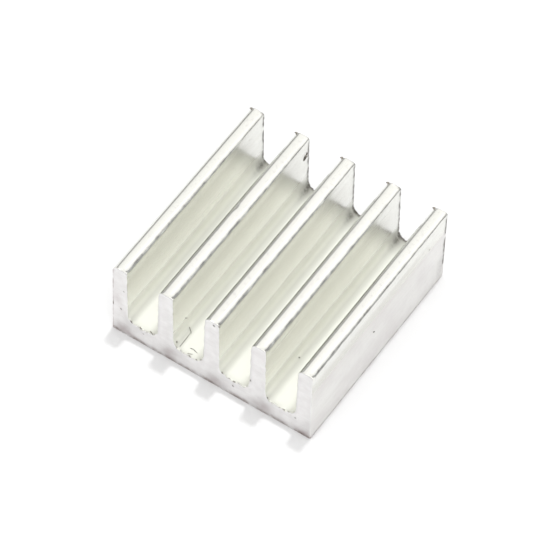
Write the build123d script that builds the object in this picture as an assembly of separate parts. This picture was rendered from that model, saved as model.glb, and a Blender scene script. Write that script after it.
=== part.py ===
from build123d import *
import os

# Small extruded heat sink: a flat base with a row of straight fins, sawn off a long bar.
# Millimetres. X runs across the fins, Y along them, Z up. The origin is the middle of the underside.

# Overall size of the cut piece, over the small burrs that the saw leaves
width = 14.0
length = 14.4
height = 6.2

# Base and fins of the extruded section
base_thickness = 1.45
fin_count = 5
tip_thickness = 1.05
root_thickness = 1.15

# Radii that the die gives the section
root_radius = 0.65
tip_radius = 0.45
heel_radius = 0.15

# Worked out from the sizes above: the fins stand at equal steps with the outer flanks upright,
# and each channel between two fins narrows a little towards its floor.
fin_pitch = (width - tip_thickness) / (fin_count - 1)
channel_depth = height - base_thickness
mouth_width = fin_pitch - tip_thickness
floor_width = fin_pitch - root_thickness


def bar_outline():
    """The outside of the section: a rectangle standing on z = 0 with its two lower corners eased."""
    outline = Pos(0, height / 2) * Rectangle(width, height)
    heels = outline.vertices().group_by(Axis.Y)[0]
    return fillet(heels, heel_radius)


def channel_outline():
    """One channel: wide at its mouth, narrower at its floor, where both corners are rounded."""
    corners = [
        (-mouth_width / 2, height),
        (-floor_width / 2, base_thickness),
        (floor_width / 2, base_thickness),
        (mouth_width / 2, height),
    ]
    outline = Polygon(*corners, align=None)
    roots = outline.vertices().group_by(Axis.Y)[0]
    return fillet(roots, min(root_radius, 0.49 * floor_width, 0.9 * channel_depth))


def heat_sink_section():
    """The bar's outline less one channel in every gap, with the fin tips rounded."""
    section = bar_outline()
    channel = channel_outline()
    for gap in range(fin_count - 1):
        x = (gap - (fin_count - 2) / 2) * fin_pitch
        section -= Pos(x, 0) * channel
    tips = section.vertices().group_by(Axis.Y)[-1]
    return fillet(tips, min(tip_radius, 0.49 * tip_thickness))


def heat_sink():
    """The section drawn out along the fins, half the length to each side of the origin."""
    section = Plane.XZ * heat_sink_section()
    return extrude(section, amount=length / 2, both=True)


os.makedirs("parts", exist_ok=True)
export_step(heat_sink(), "parts/heat_sink.step")
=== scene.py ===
# %% [markdown]
# A small aluminium heat sink
#
# The real thing is one piece. A bar of aluminium is pushed through a die that gives it a flat base
# and five fins, and the bar is sawn into short lengths. The imported frame gives its size and place.
# This file gives it the surface of such a piece: roundings that the die left, fine lines along the
# fins, sawn ends with torn edges, and the small burrs, nicks and dark spots of a cheap cut part.
# Several of its colours also carry painted shade and painted dark reflections.

# %% Load the frame
import math

import bpy
import numpy as np
from mathutils import Matrix, Vector
from mathutils.geometry import delaunay_2d_cdt


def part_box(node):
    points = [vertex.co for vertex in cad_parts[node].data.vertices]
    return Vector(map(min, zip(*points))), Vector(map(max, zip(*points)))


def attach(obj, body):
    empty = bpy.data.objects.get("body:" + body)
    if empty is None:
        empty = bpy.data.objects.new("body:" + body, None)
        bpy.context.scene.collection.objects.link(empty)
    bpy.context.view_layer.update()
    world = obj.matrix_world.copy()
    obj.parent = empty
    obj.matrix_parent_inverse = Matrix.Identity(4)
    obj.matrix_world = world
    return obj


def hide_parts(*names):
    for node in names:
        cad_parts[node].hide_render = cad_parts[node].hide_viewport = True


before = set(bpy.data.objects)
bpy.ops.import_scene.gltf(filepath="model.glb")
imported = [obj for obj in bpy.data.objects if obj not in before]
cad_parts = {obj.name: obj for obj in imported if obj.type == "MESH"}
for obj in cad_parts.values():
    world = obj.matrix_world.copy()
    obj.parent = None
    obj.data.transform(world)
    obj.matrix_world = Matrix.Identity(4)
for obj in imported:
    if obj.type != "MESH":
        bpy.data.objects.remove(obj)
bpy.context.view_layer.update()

MM = 0.001
CAD_LOW, CAD_HIGH = (np.array(corner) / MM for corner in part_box("heat_sink"))
CAD_SIZE = CAD_HIGH - CAD_LOW
print("CAD size, mm:", np.round(CAD_SIZE, 3))

# %% [markdown]
# The camera
#
# The photograph was taken from far off with a long lens, so its lines hardly converge. A camera can
# be aimed with a tracking constraint, but here it is placed by the point it looks at, two angles,
# a roll and a distance. Three vectors at right angles, worked out from the angles, are its axes, so
# each number can be turned by hand and moves one thing in the picture.

# %% Camera
PHOTO_SIZE = 550
SENSOR_WIDTH = 36.0
FOCAL_PIXELS = 4561.9
CAMERA_AZIMUTH = math.radians(31.541)
CAMERA_ELEVATION = math.radians(54.147)
CAMERA_ROLL = math.radians(2.702)
CAMERA_DISTANCE = 268.12 * MM
CAMERA_TARGET = np.array([-0.0830, -0.3908, 3.0]) * MM


def camera_axes(azimuth, elevation, roll):
    """Columns right, up and back of a camera. Back points from the target to the camera, right is
    level, and both right and up are then turned about back by the roll."""
    back = np.array([math.sin(azimuth) * math.cos(elevation),
                     -math.cos(azimuth) * math.cos(elevation),
                     math.sin(elevation)])
    level = np.array([math.cos(azimuth), math.sin(azimuth), 0.0])
    upright = np.cross(back, level)
    right = level * math.cos(roll) + upright * math.sin(roll)
    return np.stack([right, np.cross(back, right), back], 1)


def add_camera():
    """A camera whose lens makes one radian near the centre FOCAL_PIXELS wide in the photograph."""
    data = bpy.data.cameras.new("camera")
    data.sensor_width = SENSOR_WIDTH
    data.lens = FOCAL_PIXELS * SENSOR_WIDTH / PHOTO_SIZE
    data.clip_start = 0.01
    axes = camera_axes(CAMERA_AZIMUTH, CAMERA_ELEVATION, CAMERA_ROLL)
    place = np.eye(4)
    place[:3, :3] = axes
    place[:3, 3] = CAMERA_TARGET + axes[:, 2] * CAMERA_DISTANCE
    thing = bpy.data.objects.new("camera", data)
    thing.matrix_world = Matrix(place.tolist())
    bpy.context.scene.collection.objects.link(thing)
    bpy.context.scene.camera = thing
    return thing


camera = add_camera()
print("lens, mm:", round(camera.data.lens, 1))

# %% [markdown]
# The section of the bar
#
# An extruded part is one outline carried along a line. The outline could be drawn as a curve and
# given an Extrude value, but then its points could not be moved one by one near the sawn ends.
# Here it is a list of corners, each with the radius that the die gives it. Every corner becomes an
# arc that touches both its sides. A tip is round on its left and ends in a narrow slope on its
# right. Short steps are spent where the shape bends or tears.

# %% Sizes of the section
# The saw leaves burrs, and the CAD size goes over them, so the body itself is a little smaller.
BODY_WIDTH = CAD_SIZE[0] - 0.02
BODY_LENGTH = CAD_SIZE[1] - 0.08
BODY_HEIGHT = CAD_SIZE[2] - 0.04
FIN_COUNT = 5
BASE_THICKNESS = 1.45
TIP_THICKNESS = 1.05
ROOT_THICKNESS = 1.15
TIP_RADIUS = 0.45
# On the right of each tip the rounding ends early, in a narrow slope down to the flank
SLOPE_START = 0.28
SLOPE_END = 0.485
SLOPE_DROP = 0.19
SLOPE_RADIUS = 0.06
CROWN_RADIUS = 0.3
ROOT_RADIUS = 0.65
HEEL_RADIUS = 0.1
FIN_PITCH = (BODY_WIDTH - TIP_THICKNESS) / (FIN_COUNT - 1)
FIN_MIDDLES = (np.arange(FIN_COUNT) - (FIN_COUNT - 1) / 2) * FIN_PITCH
FRONT = -BODY_LENGTH / 2
BACK = BODY_LENGTH / 2
print("body, mm:", np.round([BODY_WIDTH, BODY_LENGTH, BODY_HEIGHT], 3))


# %% The outline
def section_corners():
    """Rows of x, z and radius, anticlockwise as seen from the front, from the left heel."""
    side = BODY_WIDTH / 2
    corners = [(-side, 0.0, HEEL_RADIUS), (side, 0.0, HEEL_RADIUS)]
    for fin in reversed(range(FIN_COUNT)):
        middle = FIN_MIDDLES[fin]
        corners.append((middle + SLOPE_END, BODY_HEIGHT - SLOPE_DROP, SLOPE_RADIUS))
        corners.append((middle + SLOPE_START, BODY_HEIGHT, CROWN_RADIUS))
        corners.append((middle - TIP_THICKNESS / 2, BODY_HEIGHT, TIP_RADIUS))
        if fin:
            root = middle - ROOT_THICKNESS / 2
            corners.append((root, BASE_THICKNESS, ROOT_RADIUS))
            corners.append((root - FIN_PITCH + ROOT_THICKNESS, BASE_THICKNESS, ROOT_RADIUS))
    return np.array(corners)


def rounded_outline(corners, arc_step, line_step):
    """Points and outward normals of the closed outline.

    At a corner the heading turns by some angle. The arc starts at radius times the tangent of half
    that angle before the corner, and its centre lies one radius to the side it turns to. The
    outward normal is the heading turned clockwise by a right angle."""
    at, radius = corners[:, :2], corners[:, 2]
    ahead = np.roll(at, -1, 0) - at
    ahead /= np.linalg.norm(ahead, axis=1)[:, None]
    behind = np.roll(ahead, 1, 0)
    turn = np.arctan2(behind[:, 0] * ahead[:, 1] - behind[:, 1] * ahead[:, 0],
                      (behind * ahead).sum(1))
    reach = radius * np.abs(np.tan(turn / 2))
    points, normals = [], []
    for i in range(len(at)):
        following = (i + 1) % len(at)
        arc_points = max(4, round(radius[i] * abs(turn[i]) / arc_step))
        heading = np.arctan2(behind[i, 1], behind[i, 0]) + turn[i] * np.linspace(0, 1, arc_points)
        outward = np.stack([np.sin(heading), -np.cos(heading)], 1)
        hub = at[i] - behind[i] * reach[i] - np.sign(turn[i]) * radius[i] * outward[0]
        leave = at[i] + ahead[i] * reach[i]
        run = at[following] - ahead[i] * reach[following] - leave
        parts = max(1, round(float(np.linalg.norm(run)) / line_step))
        share = np.arange(1, parts)[:, None] / parts
        points += [hub + np.sign(turn[i]) * radius[i] * outward, leave + run * share]
        normals += [outward, np.repeat(outward[-1:], parts - 1, 0)]
    return np.concatenate(points), np.concatenate(normals)


outline, outward = rounded_outline(section_corners(), arc_step=0.07, line_step=0.14)
print("outline points:", len(outline))

# %% [markdown]
# The grid of the body
#
# The body's wall is a grid: one direction goes round the outline, the other along the fins. Rows
# stand close together at both ends, because the sawn edge is torn there, and farther apart between
# them, where the bar is as straight as the die made it. The step grows by a constant factor.

# %% Rows along the fins
EDGE_BREAK = 0.02
FINEST_STEP = 0.02
COARSEST_STEP = 0.16


def rows_along():
    """Places from the front end to the back end, with steps that grow from each end inwards."""
    growing = np.cumsum(np.geomspace(FINEST_STEP, COARSEST_STEP, 10))
    from_end = np.concatenate([[0.0], growing])
    gap = BODY_LENGTH - 2 * from_end[-1]
    between = from_end[-1] + gap * np.linspace(0, 1, round(gap / COARSEST_STEP) + 1)[1:-1]
    return FRONT + np.concatenate([from_end, between, BODY_LENGTH - from_end[::-1]])


rows = rows_along()
print("rows:", len(rows), "quads in the wall:", (len(rows) - 1) * len(outline))


# %% Helpers for uneven edges
def from_fin_middle(x):
    """Distance of each x from the middle of its nearest fin, negative on the left of it."""
    return x - FIN_MIDDLES[np.abs(x[:, None] - FIN_MIDDLES).argmin(1)]


def ripple(place, seed, longest, shortest, waves=9):
    """Uneven but repeatable: a sum of sine waves. The wavelengths are spread from longest to
    shortest, each wave is as high as the root of its length, and the phases come from the seed."""
    phase = np.random.default_rng(seed).uniform(0, 2 * math.pi, waves)
    wavelength = np.geomspace(longest, shortest, waves)
    height = np.sqrt(wavelength / longest)
    angle = 2 * math.pi * np.asarray(place)[..., None] / wavelength + phase
    return (height * np.sin(angle)).sum(-1) / np.sqrt((height ** 2).sum() / 2)


# %% [markdown]
# Torn edges and nicks
#
# A saw drags metal out of the cut. On the real part the channel floors show it most: their front
# edge is ragged, while the flanks and tips are nearly clean. Sculpting would do it, but moving the
# grid's points by a formula keeps the mesh closed and can be repeated. Each point moves along its
# own outward normal, and the move fades within a few hundredths of a millimetre from the end. The
# saw also left a small lip at the front of each tip, and the slope beside it narrows backwards.

# %% Wear on the body
TEAR_REACH = 0.07
TEAR_LIFT = 0.06
TEAR_PUSH = 0.025
PUSH_LIMIT = 0.035
FLANK_TEAR_SHARE = 0.22
TIP_WANDER = 0.004
LIP_REACH = 0.16
LIP_RISE = 0.02
LIP_SHARE = 0.9
# The slope loses up to this share of its width, from one y to the other
SLOPE_NARROWING = 0.5
NARROWING_RUN = (-9.0, 5.0)
# Nicks: x, y, z of the middle, radius and depth, in millimetres
NICKS = np.array([
    (-3.52, 0.56, 6.10, 0.17, 0.05),
    (0.12, -7.10, 5.95, 0.12, 0.05),
    (0.46, -7.10, 6.05, 0.10, 0.05),
    (-3.00, -7.10, 6.00, 0.10, 0.03),
    (6.98, -0.55, 3.14, 0.14, 0.02),
    (-6.95, -3.30, 6.00, 0.15, 0.03),
])


def torn_share(points):
    """How easily the saw tears a place: 1 on the channel floors, little on flanks and tips, and
    nothing on the outside below the fins."""
    x, z = points[:, 0], points[:, 1]
    floor_level = BASE_THICKNESS + ROOT_RADIUS
    outer = (z < 0.3) | (np.abs(x) > BODY_WIDTH / 2 - 0.1)
    up_the_root = np.clip((z - BASE_THICKNESS) / ROOT_RADIUS, 0, 1)
    share = np.where(z < floor_level, 1.0 - 0.7 * up_the_root, FLANK_TEAR_SHARE)
    return np.where(outer, 0.0, share)


def worn_wall():
    """The wall's grid of points: the outline at every row, drawn in by the edge break at both
    ends, then torn, wandering at the tips and nicked. At the front end of each tip the saw pushed
    the sloping corner up into a small lip, which fades along the fin like a bell curve. Towards
    the back the slope gets narrower."""
    along = np.concatenate([[0.0], np.cumsum(np.linalg.norm(np.diff(outline, axis=0), axis=1))])
    from_front = (rows - FRONT)[:, None]
    from_back = (BACK - rows)[:, None]
    torn = torn_share(outline)[None, :]
    front_fade = torn * np.exp(-(from_front / TEAR_REACH) ** 2)
    back_fade = torn * np.exp(-(from_back / TEAR_REACH) ** 2)
    lift = TEAR_LIFT * (front_fade * (ripple(along, 3, 1.1, 0.12) + 0.2)
                        + 0.7 * back_fade * ripple(along, 4, 1.1, 0.12))
    push = TEAR_PUSH * (back_fade * ripple(along, 6, 0.9, 0.12)
                        - front_fade * (ripple(along, 5, 0.9, 0.12) + 0.3))
    push = np.clip(push, -PUSH_LIMIT, PUSH_LIMIT)
    lift[0] -= EDGE_BREAK
    lift[-1] -= EDGE_BREAK
    tip = np.clip((outline[:, 1] - BODY_HEIGHT + TIP_RADIUS) / TIP_RADIUS, 0, 1)[None, :]
    which = np.round(outline[:, 0] / FIN_PITCH + 0.5 * outward[:, 0])[None, :]
    wander = TIP_WANDER * tip * ripple(rows[:, None] + 31.7 * which, 8, 2.5, 0.35)
    grid = np.empty((len(rows), len(outline), 3))
    grid[..., 0] = outline[:, 0] + lift * outward[:, 0] + wander * np.abs(outward[:, 0])
    grid[..., 1] = rows[:, None] + push
    grid[..., 2] = np.maximum(outline[:, 1] + lift * outward[:, 1], 0.0)
    off_middle = from_fin_middle(outline[:, 0])
    on_slope = (outline[:, 1] > BODY_HEIGHT - 0.3) * np.clip((off_middle - 0.1) / 0.2, 0, 1)
    lip = LIP_SHARE * on_slope * np.exp(-(from_front / LIP_REACH) ** 2)
    grid[..., 2] += lip * (BODY_HEIGHT + LIP_RISE - grid[..., 2])
    narrow = SLOPE_NARROWING * on_slope * np.interp(rows, NARROWING_RUN, (0.0, 1.0))[:, None]
    grid[..., 0] += narrow * np.clip(SLOPE_END - off_middle, 0, None)
    grid[..., 2] += narrow * (BODY_HEIGHT - grid[..., 2])
    normal = np.array([outward[:, 0], 0 * outward[:, 0], outward[:, 1]]).T
    for *middle, radius, depth in NICKS:
        apart = ((grid - middle) ** 2).sum(-1)
        grid -= depth * np.exp(-apart / radius ** 2)[..., None] * normal
    return grid


wall = worn_wall()
print("wall box, mm:", np.round(wall.min((0, 1)), 3), np.round(wall.max((0, 1)), 3))

# %% [markdown]
# Closing the sawn ends
#
# Each end is a flat sheet whose border is the last ring of the wall. One face with hundreds of
# corners would do in Blender, but it cannot carry colour or dents, and other programs cut it into
# long slivers. A constrained Delaunay mesh of the border and a few points inside gives even
# triangles instead, and it shares the border's points with the wall, so the body stays closed.


# %% Sheets over the ends
def inner_points(spacing=0.24, margin=0.11):
    """A plain lattice of x and z, kept where it lies in the base or in a fin, clear of the edge."""
    side = BODY_WIDTH / 2
    x, z = np.meshgrid(np.arange(-side + margin, side - margin, spacing),
                       np.arange(margin, BODY_HEIGHT - margin, spacing))
    x, z = x.ravel(), z.ravel()
    half_fin = np.interp(z, [BASE_THICKNESS, BODY_HEIGHT - TIP_RADIUS, BODY_HEIGHT],
                         [ROOT_THICKNESS / 2, TIP_THICKNESS / 2, TIP_THICKNESS / 2 - TIP_RADIUS])
    off_middle = np.abs(from_fin_middle(x))
    keep = (z < BASE_THICKNESS - margin) | (off_middle < half_fin - margin)
    return np.stack([x[keep], z[keep]], 1)


def end_sheet(ring, first_in_ring, level, first_new):
    """New points and triangles that close one ring. Triangles turn anticlockwise in x and z, which
    is outwards at the front. Indices on the ring start at first_in_ring, those of new points at
    first_new."""
    border = ring[:, [0, 2]]
    inside = inner_points()
    count = len(border)
    loop = [(i, (i + 1) % count) for i in range(count)]
    flat = [Vector(p) for p in np.concatenate([border, inside])]
    corners, _, triangles, origin, _, _ = delaunay_2d_cdt(flat, loop, [], 1, 1e-6)
    source = np.array([found[0] for found in origin])
    index = np.where(source < count, source + first_in_ring, source - count + first_new)
    new = np.stack([inside[:, 0], np.full(len(inside), level), inside[:, 1]], 1)
    return new, index[np.array([list(t) for t in triangles])]


wall_count = len(rows) * len(outline)
front_new, front_sheet = end_sheet(wall[0], 0, FRONT, wall_count)
back_first = wall_count + len(front_new)
back_new, back_sheet = end_sheet(wall[-1], wall_count - len(outline), BACK, back_first)
back_sheet = back_sheet[:, ::-1]
print("triangles on the ends:", len(front_sheet), len(back_sheet))


# %% The body's mesh
def wall_quads(row_count, column_count):
    """Quads of a tube, wound so that they face away from its inside."""
    row = np.arange(row_count - 1)[:, None] * column_count
    column = np.arange(column_count)[None, :]
    following = (column + 1) % column_count
    next_row = row + column_count
    quads = [row + column, next_row + column, next_row + following, row + following]
    return np.stack(quads, -1).reshape(-1, 4)


def new_piece(name, points, face_groups):
    """A mesh object from points in millimetres and arrays of faces, one array per corner count.
    Face group number i gets material slot i."""
    mesh = bpy.data.meshes.new(name)
    mesh.vertices.add(len(points))
    mesh.vertices.foreach_set("co", (points * MM).astype(np.float32).ravel())
    corner_counts = np.concatenate([np.full(len(f), f.shape[1]) for _, f in face_groups])
    corners = np.concatenate([f.ravel() for _, f in face_groups])
    mesh.loops.add(len(corners))
    mesh.loops.foreach_set("vertex_index", corners.astype(np.int32))
    mesh.polygons.add(len(corner_counts))
    starts = np.concatenate([[0], np.cumsum(corner_counts)[:-1]])
    mesh.polygons.foreach_set("loop_start", starts.astype(np.int32))
    slots = np.concatenate([np.full(len(f), slot) for slot, f in face_groups])
    mesh.polygons.foreach_set("material_index", slots.astype(np.int32))
    mesh.polygons.foreach_set("use_smooth", np.ones(len(slots), bool))
    mesh.update(calc_edges=True)
    thing = bpy.data.objects.new(name, mesh)
    bpy.context.scene.collection.objects.link(thing)
    return thing


body_points = np.concatenate([wall.reshape(-1, 3), front_new, back_new])
body = new_piece("heat_sink_body", body_points,
                 [(0, wall_quads(*wall.shape[:2])), (1, front_sheet), (1, back_sheet)])
edge_use = np.zeros(len(body.data.edges), int)
loop_edges = np.empty(len(body.data.loops), np.int32)
body.data.loops.foreach_get("edge_index", loop_edges)
np.add.at(edge_use, loop_edges, 1)
open_edges = int((edge_use != 2).sum())
print("body faces:", len(body.data.polygons), "edges without exactly two faces:", open_edges)


# %% [markdown]
# Dark edges, painted shade and dull places
#
# A dark line runs round the back end, partly soot where the saw came out and partly painted shade
# of the burred edge. A reddish painted contact shadow runs along the bottom edge. The sawn front
# has brown stains, and low under each fin a painted reflection of the fin's shadow on the floor.
# The channels are dull and carry painted shade, the flanks and fin tops carry painted shade, and the
# outer sides are darker, blotchy and rougher. Masks for these could be painted by hand. Here they
# are worked out for each point from its place, and stored in the mesh as attributes, one number per
# point, that the materials read.

# %% The mask of soot and painted shade
# Widths in millimetres: the back line, the painted contact shadow along the bottom edge and on the
# sawn front, the front left edge line, and the painted dark reflection at the back of each root,
# across and along
BACK_LINE = 0.14
HEEL_LINE = 0.085
HEEL_LINE_FRONT = 0.14
CORNER_LINE = 0.05
ROOT_REFLECTION_WIDTH = 0.15
ROOT_REFLECTION_LENGTH = 0.8
# Brown stains on the sawn front, and low under each fin a painted reflection of the fin's shadow
# # on the floor: x, z, half width, half height and strength
STAINS_AND_SHADOWS = np.array([
    (-6.15, 0.45, 0.45, 0.50, 0.9),
    (-5.55, 0.25, 0.30, 0.20, 1.0),
    (-2.90, 0.60, 0.50, 0.50, 0.8),
    (0.40, 0.45, 0.60, 0.40, 0.7),
    (3.70, 0.55, 0.50, 0.45, 0.8),
    (-6.60, 3.30, 0.40, 0.50, 0.5),
    (6.55, 0.25, 0.55, 0.30, 0.9),
    (-6.40, 2.30, 0.30, 0.30, 0.3),
])


def soil_and_painted_shade(points):
    """From 0, clean, to 1, dark: the strongest of five marks. They are a line round the back end,
    partly soot from the saw and partly painted shade of the burred edge, strongest by the roots; a
    painted contact shadow along the bottom edge; a dark line up the front left edge; a thin painted
    dark reflection on the slope beside each tip; and a painted dark reflection at the back of each
    channel's left root. Each falls off like a bell curve with the distance from its place, and a
    ripple makes it patchy."""
    x, y, z = points.T
    patchy = np.clip(1.0 + 0.6 * ripple(z + 0.37 * x, 12, 1.9, 0.15), 0, 1.6)
    # A dark line round the back end: partly soot from the saw, partly painted shade of the burred
    # edge
    back = np.exp(-((BACK - y) / BACK_LINE) ** 2) * (z > BASE_THICKNESS - 0.2) * patchy
    # Painted contact shadow along the bottom edge, wider on the sawn front
    heel_line = np.where(y < FRONT + 0.06, HEEL_LINE_FRONT, HEEL_LINE)
    heel = np.exp(-(z / heel_line) ** 2)
    heel *= np.clip(0.9 + 0.6 * ripple(x - 0.8 * y, 13, 2.3, 0.2), 0, 1.5)
    from_corner = np.hypot(x + BODY_WIDTH / 2, y - FRONT)
    left = np.exp(-(from_corner / CORNER_LINE) ** 2) * patchy
    from_middle = from_fin_middle(x)
    # A thin painted dark reflection on the slope beside each tip
    slope = np.exp(-((from_middle - 0.40) / 0.06) ** 2 - ((z - BODY_HEIGHT + 0.10) / 0.07) ** 2)
    slope *= np.clip(0.3 + 0.35 * ripple(y + 7.3 * np.round(x), 14, 3.0, 0.3), 0, 1)
    off_root = from_middle - ROOT_THICKNESS / 2
    # The back line's painted shade is stronger by the roots
    back *= 1 + 1.5 * np.exp(-(off_root / 0.35) ** 2)
    cleaned = np.where(from_middle < 0.3, 1.0, 0.8)
    back *= 1 - np.clip((z - BODY_HEIGHT + 0.30) / 0.1, 0, 1) * cleaned
    # A painted dark reflection at the back of each channel's left root
    from_back = np.clip(BACK - 0.15 - y, 0, None)
    root_reflection = np.exp(-((off_root - 0.12) / ROOT_REFLECTION_WIDTH) ** 2 - (from_back / ROOT_REFLECTION_LENGTH) ** 2)
    root_reflection *= np.clip((2.5 - z) / 0.5, 0, 1)
    root_reflection *= np.clip(1.0 + 0.35 * ripple(y + 3.1 * np.round(x), 15, 0.9, 0.15), 0, 1)
    return np.clip(np.max([back, heel, 0.6 * left, slope, root_reflection], axis=0), 0, 1)


def front_stain_and_shadow(points):
    """Soft brown patches on the sawn front, stains and painted reflected fin shadows: a bell curve
    in x and z for each row of the table.
    """
    x, y, z = points.T
    bells = np.exp(-((x[:, None] - STAINS_AND_SHADOWS[:, 0]) / STAINS_AND_SHADOWS[:, 2]) ** 2
                   - ((z[:, None] - STAINS_AND_SHADOWS[:, 1]) / STAINS_AND_SHADOWS[:, 3]) ** 2)
    return np.clip((bells * STAINS_AND_SHADOWS[:, 4]).sum(1), 0, 1) * (y < 0)


def store_points_attribute(piece, name, values):
    """One number for each point of the piece's mesh."""
    attribute = piece.data.attributes.new(name, "FLOAT", "POINT")
    attribute.data.foreach_set("value", np.asarray(values, np.float32))


def channel_matt(points):
    """From 0 on the flanks and tips to 1 on the channel floors, which stay dull."""
    x, y, z = points.T
    inside = np.abs(x) < BODY_WIDTH / 2 - 0.5 * TIP_THICKNESS
    return inside * np.clip((2.9 - z) / 1.0, 0, 1)


def painted_floor_shade(points):
    """From 0, light, to 1, dark: painted shade on the channels. The rounded roots are darker than
    the flat floor between them, and all of it is darker towards both ends, most at the back."""
    x, y, z = points.T
    off_wall = np.abs(from_fin_middle(x)) - ROOT_THICKNESS / 2
    root = np.clip(off_wall / 0.15, 0, 1)
    middle = np.clip((off_wall - 0.3) / 0.5, 0, 1)
    near_back = np.exp(-((BACK - y) / 1.1) ** 2)
    near_front = 0.1 * np.exp(-((y - FRONT) / 1.2) ** 2) + 0.15 * np.exp(-((y - FRONT) / 0.3) ** 2)
    return np.clip(0.42 * root - 0.12 * middle + 0.58 * near_back + near_front, 0, 1)


def painted_flank_shade(points):
    """From 0, light, to 1, dark, for the drawn faces: painted shade on the upper half of the flanks,
    none near their foot and towards the back end, and half of it on the very top of the fins."""
    x, y, z = points.T
    upper = np.clip((z - 2.9) / 1.6, 0, 1) * np.clip((BODY_HEIGHT - 0.6 - z) / 0.5, 0, 1)
    top = 0.9 * np.clip((z - BODY_HEIGHT + 0.08) / 0.06, 0, 1)
    return upper * np.clip((BACK - 0.8 - y) / 3.0, 0.0, 1) + top


def outer_sides(points):
    """1 on the two outer sides below the fin tips, which are darker, blotchy and rougher, and 0
    elsewhere.
    """
    x, y, z = points.T
    return (np.abs(x) > BODY_WIDTH / 2 - 0.03) * np.clip((BODY_HEIGHT - 0.42 - z) / 0.15, 0, 1)


# Soot and painted shade for every point; none inside the back sheet
soil_and_shade = soil_and_painted_shade(body_points)
soil_and_shade[wall_count + len(front_new):] = 0.0
store_points_attribute(body, "soil_and_painted_shade", soil_and_shade)
store_points_attribute(body, "front_stain_and_shadow", front_stain_and_shadow(body_points))
store_points_attribute(body, "channel_matt", channel_matt(body_points))
store_points_attribute(body, "painted_floor_shade", painted_floor_shade(body_points))
store_points_attribute(body, "painted_flank_shade", painted_flank_shade(body_points))
store_points_attribute(body, "outer_sides", outer_sides(body_points))
print("soiled points:", int((soil_and_shade > 0.5).sum()))

# %% [markdown]
# Burrs
#
# Small curls of metal stay hanging on the cut: hooks at the back of every fin, dark slivers and
# paler flakes along the front of the channel floors, and single chips and curls on the other
# faces. Hair or scattered instances would be quick, but each of these is worth its own place. A
# burr is a thin flattened tube along a bent path that tapers to a closed point. Most start in the
# body, so that they look grown on, and a few lie up to 0.03 mm clear of it, like loose swarf.

# %% A burr from its root, its reach and its bend
BURR_RINGS = 7
BURR_SIDES = 8
BOX_CLEARANCE = 0.003


def burr_points(root, reach, bend, width, flatness):
    """Rings along the path root + t * reach + t * t * bend, for t from 0 to 1.

    Every ring is an ellipse across the path. Its half width is width times the root of one minus t
    squared, so the tip closes, and its other half axis is that times flatness. Across, over and
    ahead are left-handed, like x, z and y of the body, so the same quads face outwards."""
    t = np.linspace(0, 1, BURR_RINGS)[:, None]
    path = root + t * reach + t ** 2 * bend
    ahead = reach + 2 * t * bend
    ahead /= np.linalg.norm(ahead, axis=1)[:, None]
    across = np.cross(ahead, (0.31, 0.22, 0.93))
    across /= np.linalg.norm(across, axis=1)[:, None]
    over = np.cross(across, ahead)
    angle = np.linspace(0, 2 * math.pi, BURR_SIDES, endpoint=False)[None, :, None]
    half = width * np.sqrt(np.clip(1 - t ** 2, 0.004, 1))[:, :, None]
    rings = half * (np.cos(angle) * across[:, None] + flatness * np.sin(angle) * over[:, None])
    return path[:, None] + rings


def burr_piece(name, burrs):
    """All burrs as one mesh of closed tubes: side quads, and one flat face over each end. A burr
    that would stand out of the CAD box is moved inwards until it just touches the box."""
    rings = np.array([burr_points(*burr) for burr in burrs])
    over = np.maximum(rings.max((1, 2)) - (CAD_HIGH - BOX_CLEARANCE), 0)
    under = np.minimum(rings.min((1, 2)) - (CAD_LOW + BOX_CLEARANCE), 0)
    rings -= (over + under)[:, None, None]
    size = BURR_RINGS * BURR_SIDES
    shift = (np.arange(len(burrs)) * size)[:, None, None]
    quads = (wall_quads(BURR_RINGS, BURR_SIDES)[None] + shift).reshape(-1, 4)
    ring = np.arange(BURR_SIDES)[None, None]
    last_ring = ring[..., ::-1] + shift + size - BURR_SIDES
    caps = np.concatenate([ring + shift, last_ring]).reshape(-1, BURR_SIDES)
    return new_piece(name, rings.reshape(-1, 3), [(0, quads), (0, caps)])


# %% Slivers and flakes on the channel edges
def root_rise(from_wall):
    """How far a channel's surface lies above its flat floor, at a distance from its nearer wall:
    the root radius less the height of its arc."""
    short = max(0.0, ROOT_RADIUS - from_wall)
    return ROOT_RADIUS - math.sqrt(max(0.0, ROOT_RADIUS ** 2 - short ** 2))


def floor_burrs(seed=21, per_channel=7):
    """Slivers at even steps with a random offset along the front edge of each channel floor. They
    lean forwards, up or to the side, and are at most a fifth of a millimetre long."""
    random = np.random.default_rng(seed)
    found = []
    half_root = ROOT_THICKNESS / 2
    for left, right in zip(FIN_MIDDLES[:-1] + half_root, FIN_MIDDLES[1:] - half_root):
        even = np.linspace(left + 0.15, right - 0.15, per_channel)
        for x in even + random.uniform(-0.1, 0.1, per_channel):
            rise = root_rise(min(x - left, right - x))
            root = np.array([x, FRONT + 0.03, BASE_THICKNESS + rise - 0.01])
            reach = np.array([random.uniform(-0.12, 0.12), -0.05, random.uniform(-0.02, 0.08)])
            bend = np.array([random.uniform(-0.08, 0.08), 0.01, random.uniform(-0.06, 0.06)])
            found.append((root, reach, bend, random.uniform(0.018, 0.035), 0.5))
    return found


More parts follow.
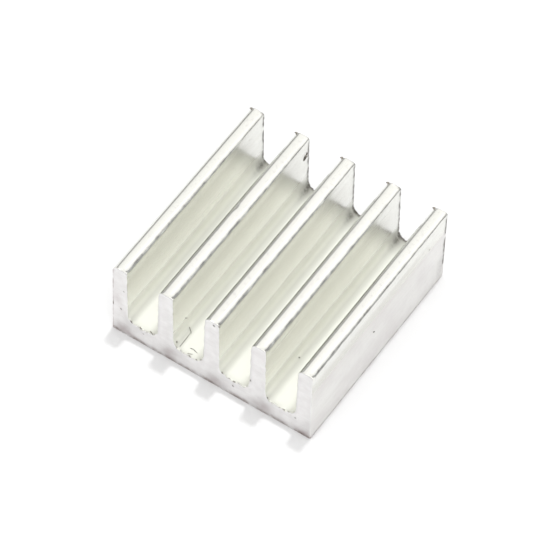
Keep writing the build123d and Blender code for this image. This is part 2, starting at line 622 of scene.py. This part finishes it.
def floor_lips(seed=23, per_channel=9):
    """Bright flakes that hang over the front edge of each channel floor, wider than the slivers."""
    random = np.random.default_rng(seed)
    found = []
    for left in FIN_MIDDLES[:-1] + ROOT_THICKNESS / 2:
        width = FIN_PITCH - ROOT_THICKNESS
        even = np.linspace(0.12, 0.88, per_channel)
        for x in left + width * (even + random.uniform(-0.03, 0.03, per_channel)):
            rise = root_rise(min(x - left, left + width - x))
            root = np.array([x, FRONT + 0.04, BASE_THICKNESS + rise - 0.02])
            reach = np.array([random.uniform(-0.12, 0.12), -0.06, random.uniform(-0.20, -0.04)])
            bend = np.array([random.uniform(-0.05, 0.05), 0.03, random.uniform(-0.05, 0.02)])
            found.append((root, reach, bend, random.uniform(0.05, 0.10), 0.25))
    return found


# %% Hooks on the fins
def fin_hooks(seed=22):
    """One hook at the back of each fin, on the left shoulder: it leans back and curls over."""
    random = np.random.default_rng(seed)
    found = []
    for middle in FIN_MIDDLES:
        root = np.array([middle - TIP_THICKNESS / 2 + 0.06, BACK - 0.10, BODY_HEIGHT - 0.16])
        reach = np.array([random.uniform(0.0, 0.03), 0.08, 0.05])
        found.append((root, reach, np.array([0.08, 0.02, 0.02]), 0.085, 0.9))
    return found


# %% Chips and curls, one by one
# On the sawn front: x and z of one end, x and z of the other, and half width
FRONT_CHIPS = [
    (-5.70, 1.62, -5.58, 1.52, 0.045),
    (-5.05, 1.54, -4.95, 1.46, 0.040),
    (-4.32, 1.72, -4.05, 1.48, 0.030),
    (-1.56, 1.48, -1.42, 1.42, 0.040),
    (0.76, 1.68, 0.83, 1.59, 0.045),
    (1.56, 1.47, 1.66, 1.42, 0.035),
    (1.50, 1.00, 1.60, 0.90, 0.035),
    (2.72, 2.55, 2.78, 2.42, 0.035),
    (3.93, 1.73, 4.00, 1.63, 0.035),
    (5.86, 1.34, 5.95, 1.26, 0.030),
    (-6.22, 4.24, -6.17, 4.16, 0.025),
    (-6.43, 2.36, -6.36, 2.26, 0.030),
    (-4.83, 1.10, -4.76, 1.02, 0.025),
    (-6.96, 2.60, -6.93, 2.38, 0.030),
    (0.06, 5.92, 0.18, 5.80, 0.050),
    (0.42, 6.06, 0.54, 6.00, 0.045),
]
# On the other faces: the two ends, each as x, y and z, and half width
SIDE_CHIPS = [
    (-2.71, 6.80, 4.88, -2.71, 6.50, 4.60, 0.075),
    (-2.71, 6.92, 5.02, -2.71, 6.80, 4.86, 0.040),
    (3.89, -3.77, 1.79, 3.95, -3.74, 1.71, 0.045),
    (6.96, -0.62, 3.16, 6.96, -0.48, 3.06, 0.045),
    (6.95, 5.27, 4.66, 6.95, 5.35, 4.60, 0.035),
    (-2.675, -5.90, 2.90, -2.675, -5.72, 2.70, 0.030),
    (-2.33, -6.96, 1.545, -2.37, -5.65, 1.565, 0.018),
    (-2.57, -5.63, 1.790, -2.28, -5.85, 1.520, 0.022),
    (-2.60, -6.90, 1.820, -2.53, -7.00, 1.720, 0.040),
    (-1.72, -7.07, 1.460, -1.42, -6.96, 1.460, 0.025),
    (-1.79, -6.66, 1.460, -1.55, -6.64, 1.480, 0.020),
    (-1.55, -6.64, 1.480, -1.24, -6.76, 1.470, 0.020),
]


def chips():
    """A short flat burr for each row of the two tables. On the front it stands out by a few
    hundredths of a millimetre, and on the other faces it lies along the surface."""
    found = []
    for x, z, to_x, to_z, width in FRONT_CHIPS:
        found.append((np.array([x, FRONT + 0.01, z]), np.array([to_x - x, -0.02, to_z - z]),
                      np.array([0.02, 0.0, 0.0]), width, 0.7))
    for row in SIDE_CHIPS:
        start, end = np.array(row[:3]), np.array(row[3:6])
        found.append((start, end - start, np.array([0.0, 0.03, 0.0]), row[6], 0.8))
    return found


burrs = burr_piece("saw_burrs", floor_burrs() + fin_hooks() + chips())
# Each burr gets a high value, so its colour is darkened as painted shade of its folds
store_points_attribute(burrs, "soil_and_painted_shade", np.full(len(burrs.data.vertices), 0.8))
lips = burr_piece("saw_lips", floor_lips())
print("burr faces:", len(burrs.data.polygons) + len(lips.data.polygons))

# %% [markdown]
# Shader groups
#
# The finishes of this part need the same few effects, so each effect is a node group: one place to
# mend, and each material gives it its own numbers. A group here puts out plain values, and the
# Principled shader stays in the material. All of them read Object coordinates, which are metres.


# %% Helpers for node trees
def new_group(name, inputs, outputs):
    """An empty shader group with float inputs, given as name and default, and named outputs."""
    group = bpy.data.node_groups.new(name, "ShaderNodeTree")
    for label, value in inputs:
        socket = group.interface.new_socket(label, in_out="INPUT", socket_type="NodeSocketFloat")
        socket.default_value = value
    for label, kind in outputs:
        group.interface.new_socket(label, in_out="OUTPUT", socket_type=kind)
    entry = group.nodes.new("NodeGroupInput")
    leave = group.nodes.new("NodeGroupOutput")
    return group, entry, leave


def math_node(tree, operation, first, second):
    """A Math node. Each operand is a number or an output socket."""
    node = tree.nodes.new("ShaderNodeMath")
    node.operation = operation
    for socket, value in zip(node.inputs, (first, second)):
        if isinstance(value, (int, float)):
            socket.default_value = value
        else:
            tree.links.new(value, socket)
    return node.outputs[0]


def mix_colour(tree, share, first, second):
    """A colour Mix node. The share is a socket, and each colour is a tuple or a socket."""
    node = tree.nodes.new("ShaderNodeMix")
    node.data_type = "RGBA"
    tree.links.new(share, node.inputs["Factor"])
    ends = [s for s in node.inputs if s.type == "RGBA"]
    for socket, value in zip(ends, (first, second)):
        if isinstance(value, tuple):
            socket.default_value = (*value, 1.0)
        else:
            tree.links.new(value, socket)
    return [s for s in node.outputs if s.type == "RGBA"][0]


def map_range(tree, value, low, high, to_low, to_high):
    """A value moved from one range to another and kept within it."""
    node = tree.nodes.new("ShaderNodeMapRange")
    tree.links.new(value, node.inputs["Value"])
    limits = {"From Min": low, "From Max": high, "To Min": to_low, "To Max": to_high}
    for label, number in limits.items():
        node.inputs[label].default_value = number
    return node.outputs["Result"]


def stored_value(tree, name):
    """The output of a node that reads one number per point from the mesh."""
    node = tree.nodes.new("ShaderNodeAttribute")
    node.attribute_name = name
    return node.outputs["Fac"]


# %% Die lines
def die_lines_group():
    """Streaks along Y. Noise on coordinates that are stretched: many steps across, few along."""
    group, entry, leave = new_group("die_lines", [("Across per mm", 20.0), ("Along per mm", 0.16)],
                                    [("Streak", "NodeSocketFloat")])
    coordinates = group.nodes.new("ShaderNodeTexCoord")
    stretch = group.nodes.new("ShaderNodeCombineXYZ")
    across = math_node(group, "DIVIDE", entry.outputs["Across per mm"], MM)
    along = math_node(group, "DIVIDE", entry.outputs["Along per mm"], MM)
    for label, socket in (("X", across), ("Y", along), ("Z", across)):
        group.links.new(socket, stretch.inputs[label])
    scaled = group.nodes.new("ShaderNodeVectorMath")
    scaled.operation = "MULTIPLY"
    group.links.new(coordinates.outputs["Object"], scaled.inputs[0])
    group.links.new(stretch.outputs[0], scaled.inputs[1])
    noise = group.nodes.new("ShaderNodeTexNoise")
    noise.inputs["Scale"].default_value = 1.0
    noise.inputs["Detail"].default_value = 3.0
    noise.inputs["Roughness"].default_value = 0.6
    group.links.new(scaled.outputs[0], noise.inputs["Vector"])
    group.links.new(noise.outputs["Fac"], leave.inputs["Streak"])
    return group


# %% Mottling, and the mask of soot and painted shade
def mottle_group():
    """Even noise at a given number of patches per millimetre, for slow changes of colour."""
    group, entry, leave = new_group("mottle", [("Patches per mm", 1.0)],
                                    [("Mottle", "NodeSocketFloat")])
    coordinates = group.nodes.new("ShaderNodeTexCoord")
    noise = group.nodes.new("ShaderNodeTexNoise")
    noise.inputs["Detail"].default_value = 4.0
    noise.inputs["Roughness"].default_value = 0.55
    group.links.new(coordinates.outputs["Object"], noise.inputs["Vector"])
    group.links.new(math_node(group, "DIVIDE", entry.outputs[0], MM), noise.inputs["Scale"])
    group.links.new(noise.outputs["Fac"], leave.inputs["Mottle"])
    return group


def soil_and_shade_group():
    """The mesh's mask of soot and painted shade, broken up by fine noise and scaled by a strength.
    """
    group, entry, leave = new_group("soil_and_painted_shade", [("Strength", 1.0)], [("Mask", "NodeSocketFloat")])
    coordinates = group.nodes.new("ShaderNodeTexCoord")
    noise = group.nodes.new("ShaderNodeTexNoise")
    noise.inputs["Scale"].default_value = 9.0 / MM
    group.links.new(coordinates.outputs["Object"], noise.inputs["Vector"])
    broken = map_range(group, noise.outputs["Fac"], 0.35, 0.55, 0.55, 1.0)
    mask = math_node(group, "MULTIPLY", stored_value(group, "soil_and_painted_shade"), broken)
    scaled = math_node(group, "MULTIPLY", mask, entry.outputs["Strength"])
    group.links.new(scaled, leave.inputs["Mask"])
    return group


die_lines = die_lines_group()
mottle = mottle_group()
soil_and_shade_mask = soil_and_shade_group()
print("groups:", [g.name for g in bpy.data.node_groups])


# %% [markdown]
# Four finishes
#
# The drawn faces are bright but streaked along the fins. The sawn faces are matt and a little
# pinker, with the fine scratches of the blade. Torn flakes are pale, and torn curls are painted
# dark for the shade in their folds. All of it is bare metal, so each finish is a Principled shader
# whose colour is what the metal reflects, with painted shade laid into several of them. Metallic
# is 1, but lower in the dull channels and on the flakes: light that bounces many times in a rough
# hollow leaves it in all directions, as from chalk.

# %% Helper: a metal with soil
def place_group(tree, group, **values):
    """A group node in a tree, with its inputs set."""
    node = tree.nodes.new("ShaderNodeGroup")
    node.node_tree = group
    for label, value in values.items():
        node.inputs[label.replace("_", " ")].default_value = value
    return node


def bump_from(tree, height, distance):
    """A Bump node for a height of 0 to 1 that stands for this many metres."""
    bump = tree.nodes.new("ShaderNodeBump")
    bump.inputs["Distance"].default_value = distance
    tree.links.new(height, bump.inputs["Height"])
    return bump.outputs["Normal"]


def new_metal(name):
    """A material with a Principled shader set to bare metal; returns it, its tree and shader."""
    material = bpy.data.materials.new(name)
    material.use_nodes = True
    shader = material.node_tree.nodes["Principled BSDF"]
    shader.inputs["Metallic"].default_value = 1.0
    return material, material.node_tree, shader


# %% Mill finish
MILL_LIGHT = (0.865, 0.87, 0.83)
MILL_DARK = (0.835, 0.84, 0.81)
BROAD_STREAK = (0.785, 0.78, 0.73)
FINE_STREAK = (0.715, 0.71, 0.665)
# Painted shade on the upper flanks and the fin tops
FLANK_SHADE_COLOUR = (0.705, 0.70, 0.655)
SPECK = (0.63, 0.615, 0.585)
OUTER_SIDE_TONE = (0.77, 0.755, 0.75)
OUTER_SIDE_BLOTCH = (0.68, 0.65, 0.645)
# Channel colours: the dark one is painted shade
CHANNEL_LIGHT = (0.90, 0.905, 0.84)
CHANNEL_SHADE = (0.36, 0.36, 0.32)
# Soot and painted shade at the edges and on the burrs
SOIL_AND_SHADE_COLOUR = (0.09, 0.08, 0.07)
# Reddish painted contact shadow along the bottom edge
HEEL_SHADOW_COLOUR = (0.36, 0.25, 0.24)
LINE_HEIGHT = 1.6e-6


def mill_colour(tree, fine, dull, side):
    """The drawn metal's colour. Patches, streaks and specks come first, with painted shade on the
    upper flanks and the fin tops, then the darker, blotchy outer sides, then the channels with their
    painted shade, and last the mask of soot and painted shade, with a reddish painted contact shadow
    near the bottom edge."""
    patches = place_group(tree, mottle, Patches_per_mm=0.45).outputs["Mottle"]
    specks = place_group(tree, mottle, Patches_per_mm=4.0).outputs["Mottle"]
    broad = place_group(tree, die_lines, Across_per_mm=3.0, Along_per_mm=0.08).outputs["Streak"]
    colour = mix_colour(tree, map_range(tree, patches, 0.35, 0.65, 0.0, 1.0), MILL_LIGHT, MILL_DARK)
    colour = mix_colour(tree, map_range(tree, broad, 0.42, 0.64, 0.0, 0.5), colour, BROAD_STREAK)
    colour = mix_colour(tree, map_range(tree, fine, 0.5, 0.7, 0.0, 0.45), colour, FINE_STREAK)
    # Painted shade on the upper flanks and the fin tops
    colour = mix_colour(tree, stored_value(tree, "painted_flank_shade"), colour, FLANK_SHADE_COLOUR)
    colour = mix_colour(tree, map_range(tree, specks, 0.56, 0.7, 0.0, 0.5), colour, SPECK)
    colour = mix_colour(tree, math_node(tree, "MULTIPLY", side, 0.6), colour, OUTER_SIDE_TONE)
    blotch = math_node(tree, "MULTIPLY", side, map_range(tree, patches, 0.42, 0.62, 0.0, 0.4))
    colour = mix_colour(tree, blotch, colour, OUTER_SIDE_BLOTCH)
    # Painted shade in the channels' roots and towards both ends
    channel = mix_colour(tree, stored_value(tree, "painted_floor_shade"), CHANNEL_LIGHT, CHANNEL_SHADE)
    colour = mix_colour(tree, dull, colour, channel)
    # The mask's colour: a reddish painted contact shadow low down, soot and painted shade above
    place = tree.nodes.new("ShaderNodeSeparateXYZ")
    tree.links.new(tree.nodes.new("ShaderNodeTexCoord").outputs["Object"], place.inputs[0])
    above_heel = map_range(tree, place.outputs["Z"], 0.2 * MM, 0.4 * MM, 0.0, 1.0)
    soil_and_shade_colour = mix_colour(tree, above_heel, HEEL_SHADOW_COLOUR, SOIL_AND_SHADE_COLOUR)
    # Soot and painted shade from the mesh lie over all of it
    mask = place_group(tree, soil_and_shade_mask, Strength=1.0).outputs["Mask"]
    return mix_colour(tree, mask, colour, soil_and_shade_colour)


def mill_aluminium():
    """Light grey, streaked along the fins in colour, roughness and height. The channels are rougher
    and less metallic, the sides are a little rougher, and neither shows the lines as relief."""
    material, tree, shader = new_metal("mill_aluminium")
    fine = place_group(tree, die_lines, Across_per_mm=9.0, Along_per_mm=0.12).outputs["Streak"]
    dull = stored_value(tree, "channel_matt")
    side = stored_value(tree, "outer_sides")
    tree.links.new(mill_colour(tree, fine, dull, side), shader.inputs["Base Color"])
    tree.links.new(map_range(tree, dull, 0.0, 1.0, 1.0, 0.2), shader.inputs["Metallic"])
    rough = math_node(tree, "MULTIPLY", dull, 0.32)
    rough = math_node(tree, "ADD", rough, math_node(tree, "MULTIPLY", side, 0.14))
    rough = math_node(tree, "ADD", rough, map_range(tree, fine, 0.3, 0.7, 0.20, 0.28))
    tree.links.new(rough, shader.inputs["Roughness"])
    flat = math_node(tree, "ADD", dull, math_node(tree, "MULTIPLY", side, 0.45))
    lines = math_node(tree, "MULTIPLY", fine, map_range(tree, flat, 0.0, 0.6, 1.0, 0.0))
    tree.links.new(bump_from(tree, lines, LINE_HEIGHT), shader.inputs["Normal"])
    return material


# %% Sawn finish
SAWN_LIGHT = (0.83, 0.82, 0.815)
SAWN_DARK = (0.755, 0.74, 0.735)
SCRATCH = (0.66, 0.64, 0.64)
# Brown stains, and the painted reflection of the fin shadows on the floor
STAIN_AND_SHADOW = (0.57, 0.52, 0.515)
# Soot and painted shade on the sawn ends, with the painted contact shadow at the bottom edge
BURNT_AND_SHADE = (0.24, 0.17, 0.15)
BLADE_TILT = math.radians(24)
SCRATCH_HEIGHT = 2.0e-6


def sawn_aluminium():
    """Matt, with short scratches that run across the end, slightly tilted, as the blade went."""
    material, tree, shader = new_metal("sawn_aluminium")
    coordinates = tree.nodes.new("ShaderNodeTexCoord")
    tilt = tree.nodes.new("ShaderNodeMapping")
    tilt.inputs["Rotation"].default_value = (0.0, BLADE_TILT, 0.0)
    tilt.inputs["Scale"].default_value = (0.5 / MM, 1.0 / MM, 14.0 / MM)
    tree.links.new(coordinates.outputs["Object"], tilt.inputs["Vector"])
    blade = tree.nodes.new("ShaderNodeTexNoise")
    blade.inputs["Scale"].default_value = 1.0
    blade.inputs["Detail"].default_value = 4.0
    tree.links.new(tilt.outputs[0], blade.inputs["Vector"])
    patches = place_group(tree, mottle, Patches_per_mm=1.5).outputs["Mottle"]
    colour = mix_colour(tree, map_range(tree, patches, 0.35, 0.65, 0.0, 1.0), SAWN_LIGHT, SAWN_DARK)
    scratches = map_range(tree, blade.outputs["Fac"], 0.58, 0.75, 0.0, 0.4)
    colour = mix_colour(tree, scratches, colour, SCRATCH)
    uneven = map_range(tree, patches, 0.35, 0.6, 0.5, 1.0)
    # Stains, and low under each fin the painted reflection of its shadow on the floor
    stained = math_node(tree, "MULTIPLY", stored_value(tree, "front_stain_and_shadow"), uneven)
    colour = mix_colour(tree, stained, colour, STAIN_AND_SHADOW)
    # Soot and painted shade from the mesh, dark at the bottom edge and round the back
    mask = place_group(tree, soil_and_shade_mask, Strength=0.9).outputs["Mask"]
    tree.links.new(mix_colour(tree, mask, colour, BURNT_AND_SHADE), shader.inputs["Base Color"])
    rough = map_range(tree, blade.outputs["Fac"], 0.3, 0.7, 0.38, 0.5)
    tree.links.new(rough, shader.inputs["Roughness"])
    tree.links.new(bump_from(tree, blade.outputs["Fac"], SCRATCH_HEIGHT), shader.inputs["Normal"])
    return material


# %% Torn metal
def bright_aluminium():
    """Freshly torn flakes: pale and rough, a little uneven in tone."""
    material, tree, shader = new_metal("bright_aluminium")
    patches = place_group(tree, mottle, Patches_per_mm=6.0).outputs["Mottle"]
    colour = mix_colour(tree, map_range(tree, patches, 0.4, 0.62, 0.0, 1.0),
                        (0.92, 0.92, 0.87), (0.66, 0.64, 0.59))
    tree.links.new(colour, shader.inputs["Base Color"])
    shader.inputs["Roughness"].default_value = 0.6
    shader.inputs["Metallic"].default_value = 0.4
    return material


def torn_aluminium():
    """Dark and rough. The dark colour is painted shade, for the shaded folds of a torn curl."""
    material, tree, shader = new_metal("torn_aluminium")
    patches = place_group(tree, mottle, Patches_per_mm=12.0).outputs["Mottle"]
    # Painted shade: the dark tones stand for the curl's shaded folds
    colour = mix_colour(tree, map_range(tree, patches, 0.35, 0.65, 0.0, 1.0),
                        (0.40, 0.37, 0.33), (0.14, 0.13, 0.11))
    # More painted shade from the mesh's mask
    mask = place_group(tree, soil_and_shade_mask, Strength=0.5).outputs["Mask"]
    tree.links.new(mix_colour(tree, mask, colour, SOIL_AND_SHADE_COLOUR), shader.inputs["Base Color"])
    shader.inputs["Roughness"].default_value = 0.5
    return material


body.data.materials.append(mill_aluminium())
body.data.materials.append(sawn_aluminium())
burrs.data.materials.append(torn_aluminium())
lips.data.materials.append(bright_aluminium())

for piece in (body, burrs, lips):
    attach(piece, "root")
    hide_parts("heat_sink")
print("materials:", [m.name for m in bpy.data.materials])

# %% [markdown]
# Floor and light
#
# The photograph is a product shot on a white table. A big soft light comes from all round, and a
# smaller one, almost straight above, leaves five soft shadows in front of the fins. A darker gap
# between the walls and the ceiling draws the thin dark lines along the fin tips. The world gives
# the walls, the gap, the ceiling and a soft box near the zenith, one sun lamp gives the shadows,
# and the floor is plain white. Metal shows what stands around it, so the gap matters most.

# %% Floor
FLOOR_WIDTH = 0.6


def add_floor():
    """A pale sheet that only scatters light, so that it takes the part's soft shadow."""
    bpy.ops.mesh.primitive_plane_add(size=FLOOR_WIDTH)
    sheet = bpy.context.object
    sheet.name = "floor"
    material = bpy.data.materials.new("floor_white")
    material.use_nodes = True
    tree = material.node_tree
    tree.nodes.clear()
    scatter = tree.nodes.new("ShaderNodeBsdfDiffuse")
    scatter.inputs["Color"].default_value = (0.66, 0.66, 0.66, 1.0)
    leave = tree.nodes.new("ShaderNodeOutputMaterial")
    tree.links.new(scatter.outputs[0], leave.inputs["Surface"])
    sheet.data.materials.append(material)
    return sheet


add_floor()

# %% World
WALL_AXIS = Vector((0.0, 0.0, 1.0))
SOFT_BOX_AXIS = Vector((0.15, -0.25, 1.0)).normalized()
# Height along an axis, which is the sine of an angle, and the brightness there
WALLS = [(0.0, 0.82), (0.10, 0.72), (0.20, 0.38), (0.42, 0.38), (0.54, 1.25)]
SOFT_BOX = [(0.84, 0.0), (0.92, 1.0)]
SOFT_BOX_LIGHT = 1.3


def light_by_height(tree, direction, axis, stops):
    """The dot product of a direction with an axis, turned into light by a colour ramp."""
    height = tree.nodes.new("ShaderNodeVectorMath")
    height.operation = "DOT_PRODUCT"
    height.inputs[1].default_value = axis
    tree.links.new(direction, height.inputs[0])
    ramp = tree.nodes.new("ShaderNodeValToRGB")
    elements = ramp.color_ramp.elements
    for number, (place, light) in enumerate(stops):
        stop = elements[number] if number < 2 else elements.new(place)
        stop.position = place
        stop.color = (light, light, light, 1.0)
    tree.links.new(height.outputs["Value"], ramp.inputs["Fac"])
    return ramp.outputs["Color"]


def add_world():
    """Pale walls with a darker gap under a bright ceiling, and a soft box near the zenith."""
    world = bpy.data.worlds.new("studio")
    bpy.context.scene.world = world
    world.use_nodes = True
    tree = world.node_tree
    tree.nodes.clear()
    direction = tree.nodes.new("ShaderNodeTexCoord").outputs["Generated"]
    wall_light = light_by_height(tree, direction, WALL_AXIS, WALLS)
    box_light = light_by_height(tree, direction, SOFT_BOX_AXIS, SOFT_BOX)
    walls = tree.nodes.new("ShaderNodeBackground")
    tree.links.new(wall_light, walls.inputs["Color"])
    soft_box = tree.nodes.new("ShaderNodeBackground")
    tree.links.new(box_light, soft_box.inputs["Color"])
    soft_box.inputs["Strength"].default_value = SOFT_BOX_LIGHT
    both = tree.nodes.new("ShaderNodeAddShader")
    tree.links.new(walls.outputs[0], both.inputs[0])
    tree.links.new(soft_box.outputs[0], both.inputs[1])
    leave = tree.nodes.new("ShaderNodeOutputWorld")
    tree.links.new(both.outputs[0], leave.inputs["Surface"])


add_world()

# %% Key light
KEY_STRENGTH = 1.2
KEY_ANGLE = math.radians(4)
KEY_FROM = Vector((-0.1, 1.2, 6.1))


def add_key():
    """A sun lamp almost straight above. Its angle sets how soft the edge of a shadow is."""
    lamp = bpy.data.lights.new("key", "SUN")
    lamp.energy = KEY_STRENGTH
    lamp.angle = KEY_ANGLE
    thing = bpy.data.objects.new("key", lamp)
    thing.rotation_euler = KEY_FROM.to_track_quat("Z", "Y").to_euler()
    bpy.context.scene.collection.objects.link(thing)


add_key()
bpy.context.scene.view_settings.view_transform = "Standard"
